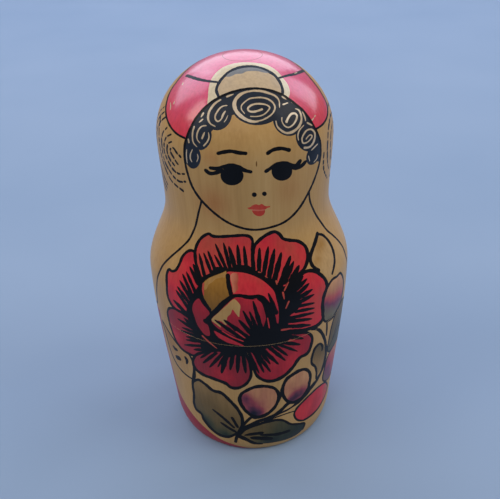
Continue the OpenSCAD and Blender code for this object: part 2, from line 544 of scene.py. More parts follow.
EYES = [(232, 175.6, 11.6, 9.8, 2), (281.9, 171.4, 10.4, 9.4, -4)]
LIDS = [
    [(250.8, 171.9), (244, 170.1), (239.4, 167.2), (231.5, 165.4), (224.2, 166.6), (218, 168.6),
     (210.4, 168)],
    [(266.2, 171.2), (271.2, 167.9), (277, 164.4), (284.4, 163), (291.7, 165.2), (296.1, 165.4),
     (299.9, 161.4)],
]
LASHES = [
    [(221.6, 170.6), (214.5, 173.2), (209.5, 173.2), (205.9, 170.6)],
    [(291, 167), (296.1, 168.2), (302, 165.4), (305.4, 162)],
]
BROWS = [
    [(218, 153.4), (224.2, 152), (231.5, 151.3), (238.2, 152.7), (245.7, 153.4)],
    [(267.9, 153.1), (273.4, 149.8), (281.4, 148.5), (289.3, 150.1)],
]
NOSE = [(254.3, 194.7, 2.5, 2.4), (264.4, 193.8, 2.4, 2.3)]
UPPER_LIP = [
    (247.3, 207.8), (250, 207.2), (252.8, 205.2), (256.5, 204.2), (259, 205.2), (261.6, 203.8),
    (264.6, 205.7), (267.5, 206.3), (270.2, 206), (270, 207.2), (267.5, 207.8), (265.3, 209.4),
    (258.7, 210.2), (252.1, 209.4), (249, 209.3),
]
LOWER_LIP = [
    (252.1, 210.4), (258.5, 210.6), (264.9, 210.2), (263.9, 214.4), (259.4, 216.3), (254.3, 214.4),
]
LIP_LINE = [(252.5, 210), (258.7, 210.4), (264.8, 209.8)]
FRECKLE = (256.5, 164, 0.7, 2.8)
# Pixels painted around a flush for each millimetre of its size
BLUSH_PIXELS = 7
# Middle, size in millimetres and strength of the flush on the cheeks
BLUSH = [((214, 203), 4.6, 0.34), ((210.5, 158), 2.2, 0.22), ((289, 190), 4.2, 0.16)]
# Dotted rows of the rosettes beside the face
ROSETTE_ROWS = [
    [(180.5, 156.8), (176.7, 152.9), (173, 147.8), (170.4, 149), (170.6, 152), (173.4, 157.1),
     (177.6, 163.8), (181, 166.4)],
    [(171.6, 141.8), (168.4, 143.2), (167, 148), (167, 151.1), (168.8, 157.1), (172.2, 162.6), (177, 168)],
    [(171, 134.4), (167, 136.5), (164.8, 140.4), (164, 146.2), (164.3, 151.1), (166.1, 156.5),
     (169.2, 163.2), (173.4, 169.8), (178.2, 173.5), (184.4, 174)],
    [(167, 127.6), (163.4, 131.7), (161.7, 138), (161.9, 145), (163.1, 154.7), (165.5, 163.2),
     (169.8, 171.1), (174.6, 177.7), (180.1, 181.7), (185.4, 181.6)],
    [(160.4, 117.1), (159.4, 126), (159, 135.3), (160.2, 148.6), (162.6, 159.5), (166.3, 170.5),
     (171.6, 180.8), (177, 186.2), (183, 190.8)],
    [(330.4, 114.2), (329.3, 122.9), (328.3, 129.4), (327.9, 138.5), (327.4, 148.4), (327.4, 156.5),
     (327.7, 163.5), (328.6, 168.6)],
    [(332, 124.5), (331, 132.1), (330.6, 140.2), (330.5, 150), (330.2, 159.2)],
    [(323.9, 153.2), (323.7, 157), (323.4, 164.1), (323.8, 169.5), (325.6, 174.9), (327, 177.8)],
]
# Numbers of the strokes: how far apart the rows count them, and where those of the far sides start
ROW_NUMBERS = 40
FAR_ROW_NUMBERS = 300
FAR_ROW_POINTS = 40
# Far side of each rosette: the angle in degrees and the length up the outline of its middle, the way it
# faces, how far its rows go round, in degrees, and the half width and half height of each row
ROSETTE_FAR_SIDES = [
    (-50, 104.0, -1, 60, [(13.2, 11.5), (15.6, 13.2), (18.0, 14.8)]),
    (80, 103.0, 1, 105, [(2.4, 2.6), (5.3, 5.2), (8.1, 7.8), (10.8, 10.4)]),
]


def paint_hood(art):
    back = wrapped(HOOD_BACK)
    left = smooth(np.vstack([seen_at(HOOD_LEFT), back * (-1, 1)]))
    right = smooth(np.vstack([seen_at(HOOD_RIGHT), back]))
    left = np.vstack([left, (-BEYOND, left[-1, 1])])
    right = np.vstack([right, (BEYOND, right[-1, 1])])
    over = [(-BEYOND, OUTLINE_H + 1), (BEYOND, OUTLINE_H + 1)]
    front = seen_at(np.vstack([spline(edge) for edge in (HOOD_FRONT_RIGHT, HOOD_INNER, HOOD_FRONT_LEFT)]))
    art.area("hood", np.vstack([left, over, right[::-1], front]), climb(*HOOD_SHEEN_FADE, PLAIN, LIGHT))
    crown = profile_h > left[-1, 1]
    mark_h = np.interp(-LATHE_MARK_R, -profile_r[crown], profile_h[crown])
    around = np.linspace(-BEYOND, BEYOND, LATHE_MARK_POINTS)
    mark = [np.column_stack([way * around, 0 * around + mark_h + way * LATHE_MARK_W / 2]) for way in (1, -1)]
    art.area("hood", np.vstack(mark), even(LATHE_MARK_TONE))
    art.shape("pale", BAND, even(LIGHT))
    for line in (left, right):
        art.area("ink", ribbon(line, PEN))
    # The folds get the ink's bluish grey end, a painted reflection of the sky on the lacquer
    for fold in HOOD_FOLDS:
        art.stroke("ink", fold, BROAD, start=0.45, tone=DARK)
    # Pale strokes of worn lacquer, partly painted highlights
    for glint in HOOD_GLINTS:
        art.stroke("pale", glint, FINE, start=0.5, end=0.5, tone=0.4)
    art.area("pale", seen_at(spline(DOME)))
    # The dome's outline also gets the ink's bluish grey end, a painted reflection of the sky
    art.stroke("ink", DOME, MIDDLE, tone=DARK)
    art.shape("pale", DOME_SHADE, even(DARK))


def paint_hair(art):
    art.area("ink", seen_at(np.vstack([spline(HAIR_TOP), spline(HAIRLINE)])), even(HAIR_SHEEN_TONE))
    for curl in CURLS:
        art.area("ink", seen_at(oval(*curl)), even(HAIR_SHEEN_TONE))
    for line, width, start, end in CURL_LINES:
        art.stroke("pale", line, CURL_LINE_SHARE * width, start, end, CURL_LINE_TONE)


def paint_rosettes(art):
    """Dotted rows on both sides of the head, like the turns of a knot."""
    for number, row in enumerate(ROSETTE_ROWS):
        art.dashes(seen_at(spline(row)), number * ROW_NUMBERS)
    for angle, h, way, sweep, sizes in ROSETTE_FAR_SIDES:
        t = np.radians(np.linspace(-sweep, sweep, FAR_ROW_POINTS))
        for number, (half_w, half_h) in enumerate(sizes):
            row = np.column_stack([way * half_w * np.cos(t), half_h * np.sin(t)]) / METRIC
            art.dashes(row + (math.radians(angle), h), number * ROW_NUMBERS + FAR_ROW_NUMBERS)


def paint_blush(art):
    for middle, size, strength in BLUSH:
        reach = BLUSH_PIXELS * size
        art.area("wood", seen_at(oval(*middle, reach, reach)), even(PLAIN), glow(middle, size, strength))


def paint_face(art):
    for eye in EYES:
        art.area("ink", seen_at(oval(*eye)))
    for lid in LIDS:
        art.stroke("ink", lid, LASH, start=0.85, end=0.9)
    for lash in LASHES:
        art.stroke("ink", lash, LASH, end=0.8)
    for brow in BROWS:
        art.stroke("ink", brow, BROW)
    for dot in NOSE:
        art.area("ink", seen_at(oval(*dot, count=14)))
    art.shape("lips", UPPER_LIP)
    art.shape("lips", LOWER_LIP, even(0.6))
    art.stroke("lips", LIP_LINE, FINE, end=0.6, tone=LIGHT)
    art.area("ochre", seen_at(oval(*FRECKLE, count=10)), even(DARK))


# Body, in pixels of the photograph

SHAWL_LEFT = [
    (201.4, 201.6), (198, 215), (195.5, 226), (193, 232), (189.5, 239), (182, 247), (171, 256.6),
    (163, 265), (159.5, 272), (157, 282), (156.8, 293.5),
]
SHAWL_RIGHT = [
    (309, 192), (310, 201), (314.5, 212), (320.8, 222), (327, 230.3), (332.5, 234.9), (338.1, 240.4),
    (343.1, 247.7), (346, 256.9), (347, 262),
]
# Angle in degrees and length up the outline, where the shawl's hem runs on behind and where the dress
# meets the apron
HEM_LEFT = [(-69.5, 53.0), (-73, 50.7), (-80, 50.3), (-110, 50.3), (-145, 50.3), (-182, 50.3)]
HEM_RIGHT = [(79, 56.0), (81, 52.2), (85, 50.5), (92, 50.3), (115, 50.3), (147, 50.3), (182, 50.3)]
DRESS_LEFT = [
    (-68, 49.6), (-70, 36), (-69, 24), (-66, 16), (-58, 13.2), (-48, 10.4), (-38, 8.0), (-28, 5.4),
    (-17, 3.6), (-7, 2.2), (3, 0.8), (9, -0.5),
]
DRESS_RIGHT = [(81, 49.6), (88, 44), (91.5, 37), (92, 29), (90.5, 19), (86.5, 9), (80, -0.5)]
DRESS_TONE = 0.74

# Each petal: its tone, darker on the lower petals as painted shade, the width of its outline,
# and its edge from the heart of the flower and back to it
PETALS = [
    (0.4, 0.95, [
        (201, 278), (197.6, 270), (195.4, 260), (195, 253.5), (196.4, 246), (200.8, 238.5), (206.5, 234.4),
        (209, 233.8), (212, 235.8), (217, 236.6), (232, 236), (244.5, 235.4), (250, 236.8), (252.4, 240.4),
        (252.2, 251), (252.6, 270),
    ]),
    (0.5, 1.05, [
        (254, 270), (253, 253.5), (254.5, 246), (259.5, 240), (268, 234), (275, 231.8), (279.5, 234.2),
        (283, 238.5), (289.5, 240.2), (298, 241.2), (305, 246), (307.6, 253.5), (307, 262), (304, 269),
        (298, 276), (294, 286),
    ]),
    (0.52, 1.15, [
        (294, 290), (298, 279), (303, 273), (311, 270.6), (318, 273), (324.5, 278.5), (327, 286),
        (324, 296), (322.4, 306), (322.6, 313.5), (323, 318), (319, 324), (309.5, 328.6), (299.5, 330.5),
        (288, 331),
    ]),
    (0.7, 1.0, [
        (286, 333), (299.5, 332.6), (308, 333), (312, 337), (311.4, 344), (307.6, 353), (299.5, 358),
        (293, 367), (284.5, 375.5), (274.5, 380.5), (267, 381), (259.5, 378), (256, 374), (253, 366),
        (250, 354),
    ]),
    (0.8, 0.95, [
        (246, 354), (249, 361), (251, 370.5), (250.6, 377), (246, 384), (238, 388), (231, 387.4),
        (226, 383.6), (214.5, 379), (202, 374), (195, 368), (193, 360.5), (196, 355), (205, 352),
    ]),
    (0.8, 0.8, [
        (206, 351), (199.5, 353.6), (194.5, 355.5), (189.5, 354), (182, 349), (176, 340.5), (172, 330.5),
        (169, 320.5), (167.6, 311.5), (169, 308.4), (174.5, 308.6), (182, 313), (189.5, 318),
    ]),
    (0.6, 0.9, [
        (188, 313), (180, 311.5), (173, 306.5), (168, 297), (166.8, 285), (167, 273.5), (169, 269.4),
        (172, 271.2), (175.5, 270.2), (179, 265), (182.6, 256.6), (187, 251.8), (191, 250.4), (194.4, 252),
        (196, 263), (200, 276),
    ]),
]
HEART_CENTRE = np.array([237, 308])
# Lighter middle of each petal: how far it lies out from the heart, its size and its tone
PETAL_GLOW_OUT = 0.1
PETAL_GLOW_SIZE = 4.0
PETAL_GLOW_TONE = -0.14
# Black around the heart, out to the bottoms of the gaps in the hatching
DARK_RING = [
    (202, 277), (206.5, 274.8), (211.4, 272), (214, 267.5), (221.7, 267), (229.7, 268.4), (236.4, 264.6),
    (243, 265), (248.5, 265.5), (254.5, 270), (261.4, 272), (266, 275.8), (272, 278.8), (277, 282.5),
    (283, 286), (291, 285.5), (296.5, 289), (297.5, 298), (302, 302.4), (299.5, 307), (296, 311.5),
    (290, 316), (288.5, 324), (288, 331), (290, 337), (288.5, 341.3), (282.3, 344.1), (275.6, 345.1),
    (271.3, 346.5), (266, 348.9), (262.2, 351.8), (256.5, 356), (250.7, 352.5), (246.7, 353.4),
    (241.2, 356.5), (236.2, 354.9), (228.8, 357.5), (224.3, 354.4), (219.8, 352), (211.3, 352.4),
    (205.5, 352.5), (200.9, 348.4), (199.9, 341), (195, 336), (192, 329), (189, 322), (186.5, 314),
    (187, 307), (188.5, 302), (191, 297), (194, 292), (197.5, 287), (199.5, 281),
]
# Share of their widths with which the hatching of the petals and the strokes in front are drawn
HATCH_SHARE = 1.2
FRONT_SHARE = 1.1
# Hatching of the petals: the tip and the root of each stroke, and its width
HATCHES = [
    ((199.2, 253.7), (204.3, 275), 0.85), ((203.8, 253.2), (211.4, 273), 0.85),
    ((207.9, 251), (215, 270), 0.85), ((214.5, 255), (222.1, 269), 0.75), ((215.4, 244.1), (227, 271), 0.9),
    ((223.5, 243), (230.6, 270), 1.0), ((229, 246.8), (235, 268), 1.25),
    ((237.5, 245.2), (239.6, 268), 1.1), ((244, 246.3), (246.3, 268), 1.0),
    ((259.5, 248.2), (258.9, 273), 1.15), ((268.2, 246.9), (263.6, 275), 1.15),
    ((274.4, 249.3), (268.8, 279), 1.35), ((281.2, 253.1), (274, 282), 1.4),
    ((290.4, 256.4), (280, 286), 1.4), ((293.6, 261.8), (284.5, 282), 1.3),
    ((298.8, 266.1), (288, 288), 1.6), ((303, 276.5), (292, 290), 1.1), ((306.8, 278.9), (296, 290), 1.05),
    ((308.9, 283.7), (296, 296), 1.1), ((312.3, 289.5), (296, 300), 1.1),
    ((313.9, 294.6), (298, 303), 1.05), ((314.4, 303), (298, 306.4), 0.85),
    ((314.4, 308.1), (296, 311.6), 0.9), ((313.9, 312.8), (288, 318.6), 0.95),
    ((311.8, 318.9), (287, 321.8), 1.0), ((310.5, 325), (286, 327), 1.1), ((305, 332.6), (284, 333), 1.1),
    ((303.1, 338.6), (284, 336), 1.15), ((300, 344.6), (284, 342.6), 1.05),
    ((297.4, 351.3), (277, 344), 0.8), ((287.6, 355.6), (271, 343.6), 0.95),
    ((285.2, 360.4), (267, 345.6), 1.05), ((278.3, 364.2), (261, 348), 1.1),
    ((270.1, 364), (259, 349.4), 1.05), ((270.4, 371.7), (256, 352), 1.0),
    ((263.9, 372.4), (254.6, 353), 0.95), ((259.1, 373.3), (248.6, 352), 0.85),
    ((200.4, 358.1), (211, 351), 0.8), ((203.1, 363.1), (216, 353), 0.95),
    ((209.6, 367.3), (223, 353), 0.95), ((217.8, 367), (224.6, 356), 0.75),
    ((221.5, 373), (226.8, 354), 1.35), ((230.2, 369.8), (233, 354), 1.15),
    ((237.5, 372.8), (238.3, 354), 1.15), ((245.7, 373), (243, 353), 1.1),
    ((182, 327.5), (194, 332.4), 0.75), ((180.5, 330.5), (195, 335.8), 0.8),
    ((186, 336.7), (198, 339.2), 0.8), ((186, 339.9), (200, 341.6), 0.8), ((184.5, 344.9), (201, 346), 0.8),
    ((193.9, 349.6), (205, 350), 0.85), ((177.8, 318.8), (193, 328.8), 0.8), ((184, 318), (192, 326), 0.85),
    ((193.3, 264.5), (200.4, 282), 1.05), ((189.9, 267.1), (198, 283.6), 0.95),
    ((186.4, 272), (195.2, 292), 0.85), ((182.7, 274.3), (192.4, 296.6), 0.9),
    ((179.8, 280.6), (190.8, 299.4), 0.9), ((177.5, 286.9), (189.6, 304), 0.9),
    ((176.1, 290.4), (188.4, 308.4), 0.85), ((173.5, 300.1), (187, 314.4), 1.0),
]
# Slits of red that the hatching leaves open
SLITS = [
    ([(283, 292.5), (284.3, 299)], 0.5), ([(288.8, 301.5), (285.8, 308.5)], 0.5),
    ([(281.8, 330), (291.6, 328.4)], 0.55), ([(289, 340.9), (294.8, 339.7)], 0.5),
    ([(276.2, 281), (277, 284.5)], 0.5), ([(284.4, 290.4), (288.6, 282)], 0.4),
    ([(258.4, 272), (261, 272.6)], 0.35), ([(265.4, 276.2), (267.4, 277.6)], 0.35),
    ([(202.5, 336), (209, 342), (216.6, 348.3)], 0.4), ([(268.6, 334.6), (271, 331.4)], 0.4),
]
# Between which pixels the tone of an inner petal changes, and from what to what
HEART_RED_FADE = ((255, 280), (276, 318), 0.48, 0.66)
HEART_PALE_FADE = ((231, 284), (239, 284), 0.0, 0.24)
HEART_OCHRE_FADE = ((216, 280), (212, 306), 0.55, 0.85)
FRONT_RED_FADE = ((246, 300), (240, 336), 0.66, 0.76)
HEART_RED = [
    (227, 272.4), (235, 272), (244, 272.9), (252.4, 275.3), (262.2, 280.2), (269.2, 285.9), (274.1, 291.5),
    (276.5, 300), (278.4, 308), (278.8, 316), (278, 323.5), (274, 318), (268, 304), (258, 299), (240, 299),
    (231, 297), (228.6, 285),
]
HEART_PALE = [
    (230.4, 275.2), (233, 273), (237, 273.4), (238.6, 279), (237.4, 284), (238.3, 288.7), (236, 291.5),
    (233.6, 293.4), (232, 285),
]
HEART_OCHRE = [
    (203.4, 283), (208, 278.5), (213, 276.2), (222.9, 272.4), (226, 271), (226.8, 276), (226.6, 285),
    (229.4, 295.6), (222.9, 301.5), (212.4, 311.3), (208.2, 307), (204.6, 301.3), (202.9, 293),
]
HEART_CREAM = [
    (204.2, 283.4), (208.4, 279), (213, 276.6), (222.9, 272.8), (225.8, 271.6), (226.3, 277), (221, 277.6),
    (216, 279), (212, 282.4), (208.6, 284.6), (206.6, 289), (204.6, 290),
]
HEART_EDGE_RED = [(203.6, 283.6), (203, 289), (203.6, 295)]
HEART_EDGE_RED_W = 0.6
HEART_LINES = [
    ([(227.8, 275.6), (228.6, 284), (231.4, 296)], 1.35),
    ([(201, 295), (203.4, 300.5), (206, 305), (209.4, 309.4)], 1.1),
]
HEART_LEFT = [
    (198.5, 298.5), (193.4, 303.4), (192.4, 309.7), (194.8, 317.4), (196.9, 323.8), (200.4, 329.4),
    (205.4, 335), (209.6, 335.7), (209.2, 329.4), (207.5, 324.5), (204.6, 321.6), (209.6, 313.2),
    (206.8, 309), (202.5, 304.1),
]
FRONT_RED = [
    (211.5, 320), (219, 312), (226.4, 304.5), (234.1, 298.5), (243, 298.5), (252, 299.6), (259, 299),
    (264, 304), (266.5, 312), (264, 325), (257, 336), (244, 340), (232, 335), (220, 330),
]
FRONT_PALE = [
    (211.5, 320), (218, 313), (226.4, 305.5), (234.1, 299.2), (238.3, 302.5), (240.4, 306), (239.6, 312),
    (239, 317), (235.8, 313.5), (232.5, 309.5), (230.6, 314), (227.4, 317), (226.2, 325), (221.5, 321.6),
    (218, 320.5), (221, 327.5), (216, 324),
]
FRONT_DARK = [
    (214, 329), (224, 334), (236, 338), (246, 338), (252, 334), (258, 334.5), (263.5, 335), (266, 330),
    (266.2, 320), (264.4, 311), (261.5, 303), (257, 299), (262, 297.5), (268, 301.5), (272, 308),
    (275.5, 316), (277, 325), (277, 333), (281, 337), (281, 341), (270, 346), (258, 349), (244, 349),
    (228, 346.5), (214, 341.5), (210.5, 334),
]
# Strokes of the closed petal in front: tip, root and width
FRONT_STROKES = [
    ((215.2, 320.2), (243, 339.4), 1.05), ((224.3, 320.2), (250, 339.4), 1.3),
    ((239, 320.2), (253.4, 336), 1.3), ((243.2, 311.1), (256.4, 336), 1.2),
    ((249.6, 311.8), (260.4, 338), 1.2), ((253.1, 301.3), (263.8, 338), 1.35),
    ((268.5, 293.6), (276.4, 313), 1.2), ((215.9, 329), (240, 343), 1.4),
]
FRONT_SLIT = [
    (214.1, 331), (217.6, 336.6), (222.6, 340), (228.5, 342.9), (244, 346), (234.1, 340.8), (224.3, 336),
]
FRONT_THREADS = [
    [(222.2, 331), (232, 336.8), (243.2, 341.3)], [(267.6, 318), (269.4, 328)], [(236, 331.5), (245, 338)],
]
FRONT_EDGE_W = 1.1
FRONT_EDGE = [
    (205.4, 321.4), (208.2, 318.1), (215.2, 310.4), (224.3, 301.3), (232.7, 296.4), (239.7, 295.7),
    (248.2, 297.1), (258.7, 296.6), (263.6, 298.5), (269.2, 305.5), (272.5, 315),
]
FRONT_SIDE_W = 1.2
FRONT_SIDE = [(205.6, 321.2), (211, 325), (212, 332), (211.5, 339)]

# Share of their widths with which the lines of leaves, buds and stems are drawn
SPRAY_SHARE = 1.1
# Leaves and buds: the paint, the width of the line all round it, or 0, the edge and the tones
SPRAYS = [
    ("ochre", 0, [
        (317.6, 234.4), (315.6, 240.5), (312.6, 248.7), (310.6, 255.5), (310.8, 261.1), (313.3, 266.2),
        (320.2, 270.6), (325, 274.6), (328.4, 278), (332.4, 274.5), (334.2, 262), (333.4, 253.7),
        (330.8, 245.4), (326.6, 239), (322, 235),
    ], (even(0.0), glow((321, 244), 2.2, 0.42), glow((316.2, 261), 1.2, 0.4))),
    ("bud", 0.72, [
        (340.4, 273), (336.7, 276.7), (333.3, 278.7), (329.3, 284), (325.7, 291.4), (323.8, 297.5),
        (323.2, 304.1), (323.6, 311), (323, 316.6), (325, 321.4), (329, 320.5), (333.2, 316.6),
        (337.3, 309.1), (340.6, 301.7), (342.6, 292), (343.4, 283), (342.6, 276.5),
    ], (fade((337, 277), (327, 318), 0.0, 0.86),)),
    ("leaf", 0, [
        (322, 343.4), (319.4, 343.8), (315.8, 347.3), (313.3, 353.1), (311.8, 360.5), (312.4, 363.8),
        (314.9, 366.3), (316.2, 371.3), (316, 376), (321, 368.5), (324, 359.7), (325, 351.4), (324, 345),
    ], (fade((312, 364), (322, 345), 0.0, 0.5),)),
    ("plum", 0.9, [
        (245.9, 391), (251, 388.4), (257.4, 386.6), (268.3, 386.6), (275.6, 389.2), (278.6, 395.3),
        (277.4, 402.3), (273.4, 408.7), (265.7, 414.8), (257.4, 417.2), (251.7, 415.5), (245.3, 410.4),
        (241, 404.2), (239.8, 397.9), (241.7, 393.6),
    ], (even(0.18), glow((245.5, 398), 2.3, 0.34), glow((251, 404.5), 3.0, 0.3),
        glow((255, 413.5), 2.6, 0.78))),
    ("plum", 0.95, [
        (283.2, 386), (287.1, 378.8), (292.8, 374.5), (299.1, 370.8), (305.3, 369.3), (309, 371.7),
        (310.4, 376.7), (309.4, 382.4), (308.8, 386.4), (305.7, 392.8), (299.5, 399.6), (291.2, 402.6),
        (286.3, 400.2), (283, 394.7), (282.6, 390),
    ], (even(0.12), glow((286, 389), 2.2, 0.16), glow((299.5, 393.5), 2.9, 0.58),
        glow((291, 400), 2.0, 0.5))),
    ("red", 0.62, [
        (325.9, 382.2), (319.1, 386.4), (310.8, 393.9), (303, 401.6), (296.6, 408.7), (294.2, 414.4),
        (296.5, 419.3), (301.4, 420.6), (308.3, 417.5), (316.6, 410.1), (323.2, 399.3), (326.3, 391.2),
        (327.2, 384.8),
    ], (even(0.58), glow((326.5, 385), 2.2, -0.6), glow((323.5, 396), 1.1, -0.36))),
    ("leaf", 0, [
        (193.4, 381.5), (198.1, 380), (204.8, 384), (213, 390.6), (221.3, 393.2), (229.6, 400.6),
        (237.7, 409.8), (241.8, 417.8), (241.8, 427), (237.1, 433.2), (228, 436.5), (218.8, 434.1),
        (209.7, 426.8), (204.1, 419.3), (201.6, 413.7), (196.7, 409.4), (194.3, 402.9), (194.2, 394.6),
        (193, 386),
    ], (fade((222, 396), (208, 430), 0.12, 0.66), glow((204, 422), 3.4, 0.5), glow((226, 436), 2.6, 0.3))),
    ("leaf", 0, [
        (238.9, 435.5), (245.3, 429.9), (255.5, 425.5), (268.3, 421.7), (278.5, 420.1), (284.2, 421),
        (290.6, 424.2), (297.6, 424.2), (304.4, 423.6), (302.5, 429.1), (297.6, 434), (287.4, 439.1),
        (274.6, 442.3), (261.9, 443.6), (254.2, 442.9), (245.9, 439.1),
    ], (fade((256, 426), (298, 434), 0.4, 1.0), glow((270, 442), 3.0, 0.3))),
]
# Leaves and buds that go round the sides: the paint, the edge as angles in degrees and lengths up the
# outline, the width of its line and the tones
SIDE_SPRAYS = [
    ("leaf", [
        (53.2, 37), (53.6, 41), (54.6, 45.4), (57, 48.6), (62, 51), (68, 51.4), (74.5, 50), (80, 47.2),
        (84, 44), (87, 40.4), (83, 37.6), (77, 35.8), (70, 34.8), (62, 34.6), (56, 34.8),
    ], 0.6, (fade((331, 320), (341, 340), 0.36, 0.72),)),
    ("bud", [
        (58, 34), (54.8, 32.4), (53.4, 28.6), (52.8, 25), (54.5, 22.6), (59, 20.8), (66, 19.4), (73, 19.2),
        (80, 20.8), (84.5, 24), (85.5, 27.6), (82, 31.2), (75, 33.6), (66, 34.6),
    ], 0.55, (fade((337.5, 340), (325, 378), 0.2, 0.66),)),
    ("ochre", [
        (-66, 46.2), (-60, 45.2), (-54, 43.6), (-48, 42), (-40, 41), (-37.5, 36.6), (-39.6, 30.4),
        (-45, 30), (-51, 30.4), (-56.5, 31.6), (-60.6, 33.8), (-63, 37.4), (-64.2, 41.4),
    ], 0.6, (fade((188, 368), (168, 338), 0.12, 0.5),)),
]
# Veins of the leaf on the right side, in the same terms
SIDE_VEINS = [
    [(55, 37.4), (64, 40.6), (74, 42.6), (80, 42.6)], [(59, 39.4), (63, 43.2), (67, 45.8)],
    [(67, 41.6), (73, 39.2), (77, 38.4)],
]
# Pen lines of the leaves, buds and stems: pixels, width, and the shares of it at the start and the end
SPRAY_LINES = [
    ([(317.4, 234), (315.8, 240), (312.8, 248.7), (310.5, 255.5), (310.5, 261.1), (313.3, 266.6),
      (319, 270.4)], 1.0, 1.0, 1.0),
    ([(317.4, 234), (322.4, 234.9), (327, 239), (331.2, 245.4), (333.9, 253.7), (334.6, 262), (333.6, 268.4),
      (332.3, 273.5)], 0.8, 0.9, 0.7),
    ([(326.9, 321.6), (326.9, 328.2), (326.4, 335.2)], 0.7, 1.0, 0.8),
    ([(311.6, 328.6), (317, 329), (320.7, 331.5), (324, 337.3), (325.7, 344.8), (326, 351.4), (324.9, 359.7),
      (322, 369.7), (316.9, 380)], 1.0, 1.0, 1.0),
    ([(322, 369.7), (316.9, 380), (313.4, 384.6), (309.2, 390), (303.6, 396.8), (298.7, 401.8),
      (292.4, 406.7)], 1.35, 0.5, 0.35),
    ([(298.7, 401.8), (292.4, 406.7), (286.8, 410.2), (281.1, 412.8), (274.1, 416.2)], 0.5, 1.0, 1.0),
    ([(290, 402.4), (287.4, 404), (283.2, 408.2), (278.3, 412.6), (272.7, 416.2), (264.3, 419.3),
      (258.7, 421)], 0.95, 0.9, 0.8),
    ([(264.3, 419.3), (258.7, 421), (253.1, 423.5), (246.1, 426.9), (239, 432), (236.6, 437.5),
      (235.6, 442)], 0.85, 1.0, 1.1),
    ([(294.1, 411.2), (288.2, 413), (281.1, 415.5), (274.1, 418), (264.3, 421.6), (256.6, 424.3),
      (245.4, 428.6)], 0.36, 0.9, 1.0),
    ([(255.6, 417.4), (251.7, 417.2), (248.9, 419.3), (246.1, 422.1), (242.5, 427),
      (239, 432)], 0.8, 1.2, 0.9),
    ([(322.2, 350), (322.3, 346), (320.6, 343.6), (315.8, 347.1), (313.1, 353.1), (311.5, 360.5),
      (311.9, 363.8), (314.9, 366.3), (316.4, 371.3), (316.2, 378)], 0.82, 0.8, 0.8),
    ([(241.6, 393.4), (239.6, 397.9), (241, 404.2), (245.6, 410.6)], 1.25, 0.5, 0.5),
    ([(277.6, 390.4), (279.4, 396), (277.6, 403)], 1.45, 0.4, 0.4),
    ([(283.4, 385.4), (282.2, 391), (283.6, 397)], 1.3, 0.5, 0.5),
    ([(194.2, 367), (194, 372), (193.2, 378.4), (192.7, 384.7), (194, 394.6), (194, 402.9), (196.5, 409.6),
      (201.4, 413.7), (203.9, 419.5), (209.7, 427), (218.8, 434.4), (228, 436.9),
      (237.1, 433.6)], 0.85, 1.0, 0.9),
    ([(193, 381.6), (198.1, 379.8), (204.8, 383.8), (213, 390.5), (221.3, 393), (229.6, 400.4),
      (237.9, 409.6), (242.1, 417.8), (242.1, 426), (239, 432)], 0.95, 0.8, 1.1),
    ([(238.5, 436), (245.3, 429.7), (255.5, 425.3), (268.3, 421.5), (278.5, 419.9), (284.2, 420.8),
      (290.6, 424), (297.6, 424), (304.6, 423.4), (302.7, 429.1)], 0.75, 0.9, 0.8),
    ([(238.5, 436), (245.9, 439.3), (254.2, 443.1), (262, 443.8)], 1.0, 1.0, 0.4),
    ([(213, 409.6), (223, 417.6), (233.8, 427.4)], 0.8, 0.5, 0.7),
    ([(221.3, 422.8), (228, 427.4), (235.6, 431.8)], 0.75, 0.6, 0.7),
    ([(232.1, 417.8), (237.6, 427)], 0.9, 0.8, 0.8),
    ([(245, 435.2), (253, 434), (261.9, 432.9)], 0.85, 0.4, 0.8),
    ([(261, 435), (270, 434.8), (278.5, 434), (288.7, 431)], 0.85, 0.5, 0.8),
    ([(252, 437.8), (262, 438.3), (270.8, 438.7)], 1.1, 0.6, 0.9),
    ([(173.6, 346.8), (175.4, 349), (176.8, 349.6)], 1.1, 0.6, 0.9),
    ([(176.9, 357.4), (179.5, 358.2)], 1.6, 0.9, 0.9),
    ([(185.8, 358), (187, 360.6), (186.6, 363.6)], 1.0, 0.8, 0.6),
]


def paint_dress(art):
    for limit, edge in ((-BEYOND, DRESS_LEFT), (BEYOND, DRESS_RIGHT)):
        line = smooth(wrapped(edge))
        art.area("red", np.vstack([line, (limit, -1.0), (limit, line[0, 1])]), even(DRESS_TONE))


def paint_shawl(art):
    for pixels, hem in ((SHAWL_LEFT, HEM_LEFT), (SHAWL_RIGHT, HEM_RIGHT)):
        art.area("ink", ribbon(smooth(np.vstack([seen_at(pixels), wrapped(hem)])), PEN))


def paint_sprays(art):
    for paint, edge, width, tones in SIDE_SPRAYS:
        line = smooth(wrapped(edge), closed=True)
        art.area(paint, line, *tones)
        art.loop("ink", line, width)
    for vein in SIDE_VEINS:
        art.area("ink", ribbon(smooth(wrapped(vein)), FINE, start=0.9, end=0.4))
    for paint, width, edge, tones in SPRAYS:
        art.shape(paint, edge, *tones)
        if width:
            art.loop("ink", seen_at(spline(edge, closed=True)), SPRAY_SHARE * width)
    for line, width, start, end in SPRAY_LINES:
        art.stroke("ink", line, SPRAY_SHARE * width, start, end)


def paint_flower(art):
    # The lower petals' darker tones are painted shade
    for tone, _, edge in PETALS:
        middle = np.mean(edge, axis=0) * (1 + PETAL_GLOW_OUT) - HEART_CENTRE * PETAL_GLOW_OUT
        lighter = glow(middle, PETAL_GLOW_SIZE, PETAL_GLOW_TONE)
        art.area("red", seen_at(np.vstack([spline(edge), HEART_CENTRE])), even(tone), lighter)
    for _, width, edge in PETALS:
        art.stroke("ink", edge, width)
    art.shape("ink", DARK_RING)
    for tip, root, width in HATCHES:
        art.spike(tip, root, HATCH_SHARE * width)
    for line, width in SLITS:
        art.stroke("red", line, width, end=0.5, tone=0.3)


